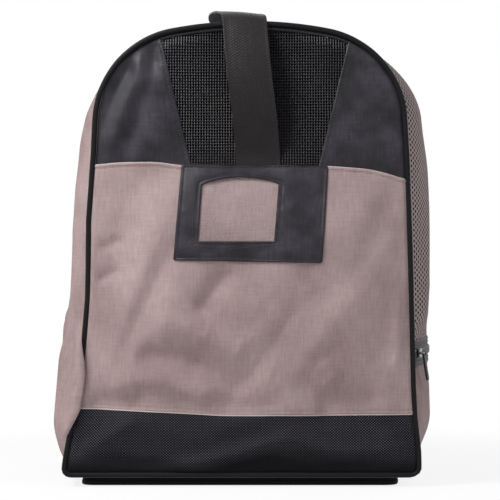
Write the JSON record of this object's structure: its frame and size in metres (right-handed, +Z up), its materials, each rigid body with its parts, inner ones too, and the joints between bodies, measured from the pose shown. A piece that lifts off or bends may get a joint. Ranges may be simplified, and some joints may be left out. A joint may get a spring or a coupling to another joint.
{
  "type": "skate bag",
  "caption": "Arched soft carry bag for skates, with a mesh-topped front panel, card holder, bulging side gussets, zipped top mouth and wide carry strap.",
  "frame": {"origin": "on the floor under the middle of the bag, at the bottom centre of its bounding box", "axes": "+Z up, -Y towards the front panel with the card holder, +X towards the side with the mesh gusset and the side pocket's zip"},
  "size_m": [0.3526, 0.3006, 0.4286],
  "materials": {
    "taupe_canvas": "woven polyester canvas, matt",
    "taupe_spacer_mesh": "perforated spacer mesh, matt",
    "black_polyester": "plain woven polyester, slight sheen",
    "black_polyester_trim": "plain woven polyester with topstitching",
    "ballistic_cloth": "coarse coated basket weave",
    "black_mesh": "open woven mesh",
    "lining_cloth": "plain lining",
    "padding_foam": "open-cell foam",
    "binding_tape": "ribbed tape",
    "zip_tape": "herringbone tape",
    "strap_webbing": "polypropylene webbing, slight sheen",
    "piping_cord": "coated piping, satin",
    "skid_rubber": "moulded rubber, satin",
    "coated_base_cloth": "coated cloth, satin",
    "base_board": "hard board, matt",
    "zip_coil": "moulded nylon coil",
    "zip_metal": "black lacquered zinc casting, satin",
    "zip_pull_rubber": "moulded rubber, satin",
    "clear_film": "clear flexible vinyl film"
  },
  "bodies": {
    "bag": {"base_skid": "skid_rubber", "base_panel": "coated_base_cloth", "base_board": "base_board", "front_lining": "lining_cloth", "front_foam": "padding_foam", "front_canvas": "taupe_canvas", "front_base_panel": "ballistic_cloth", "front_corner_left": "black_polyester", "front_corner_right": "black_polyester", "front_mesh_window": "black_mesh", "front_piping": "piping_cord", "card_holder_frame": "black_polyester_trim", "card_window_film": "clear_film", "back_lining": "lining_cloth", "back_foam": "padding_foam", "back_canvas": "taupe_canvas", "back_base_panel": "ballistic_cloth", "back_top_panel": "black_polyester", "back_piping": "piping_cord", "gusset_left": "taupe_canvas", "gusset_right_mesh": "taupe_spacer_mesh", "gusset_right_backing": "lining_cloth", "gusset_right_lower": "taupe_canvas", "side_pocket_lining": "lining_cloth", "seam_binding_front": "binding_tape", "seam_binding_back": "binding_tape", "mouth_hem_left": "binding_tape", "mouth_hem_right": "binding_tape", "main_zip_end_left": "zip_tape", "main_zip_end_right": "zip_tape", "side_zip_tape": "zip_tape", "side_zip_coil": "zip_coil", "side_zip_stops": "zip_metal", "carry_strap_front": "strap_webbing", "carry_strap_back": "strap_webbing", "strap_patch": "black_polyester_trim"},
    "facing_front": {"facing_front": "black_polyester", "main_zip_tape_front": "zip_tape", "main_zip_coil_front": "zip_coil"},
    "facing_back": {"facing_back": "black_polyester", "main_zip_tape_back": "zip_tape", "main_zip_coil_back": "zip_coil"},
    "main_slider": {"main_zip_slider": "zip_metal"},
    "main_pull": {"main_zip_pull": "zip_pull_rubber"},
    "side_slider": {"side_zip_slider": "zip_metal"},
    "side_pull": {"side_zip_pull": "zip_pull_rubber"},
    "strap_loop": {"carry_strap_loop": "strap_webbing"}
  },
  "joints": [
    {"name": "facing_front_fold", "type": "hinge", "parent": "bag", "child": "facing_front", "pos_m": [0, -0.143, 0.40644], "axis": [-1, 0, 0], "range_deg": [0, 85]},
    {"name": "facing_back_fold", "type": "hinge", "parent": "bag", "child": "facing_back", "pos_m": [0, 0.143, 0.40644], "axis": [1, 0, 0], "range_deg": [0, 85]},
    {"name": "main_slider_run", "type": "hinge", "parent": "bag", "child": "main_slider", "pos_m": [0, 0, 0.0455], "axis": [0, 1, 0], "range_deg": [0, 19.38]},
    {"name": "main_pull_swing", "type": "hinge", "parent": "main_slider", "child": "main_pull", "pos_m": [-0.06333, 0, 0.41633], "axis": [0.9857, 0, 0.1683], "range_deg": [-150, 0]},
    {"name": "side_slider_run", "type": "hinge", "parent": "bag", "child": "side_slider", "pos_m": [-0.24846, 0, 0.09805], "axis": [-0.0523, 0, 0.9986], "range_deg": [0, 32.99]},
    {"name": "side_pull_swing", "type": "hinge", "parent": "side_slider", "child": "side_pull", "pos_m": [0.16282, -0.12196, 0.1196], "axis": [0.2836, 0.9588, 0.0149], "range_deg": [-150, 0]},
    {"name": "strap_lift", "type": "slide", "parent": "bag", "child": "strap_loop", "axis": [0, 0, 1], "range_m": [0, 0.025]}
  ]
}
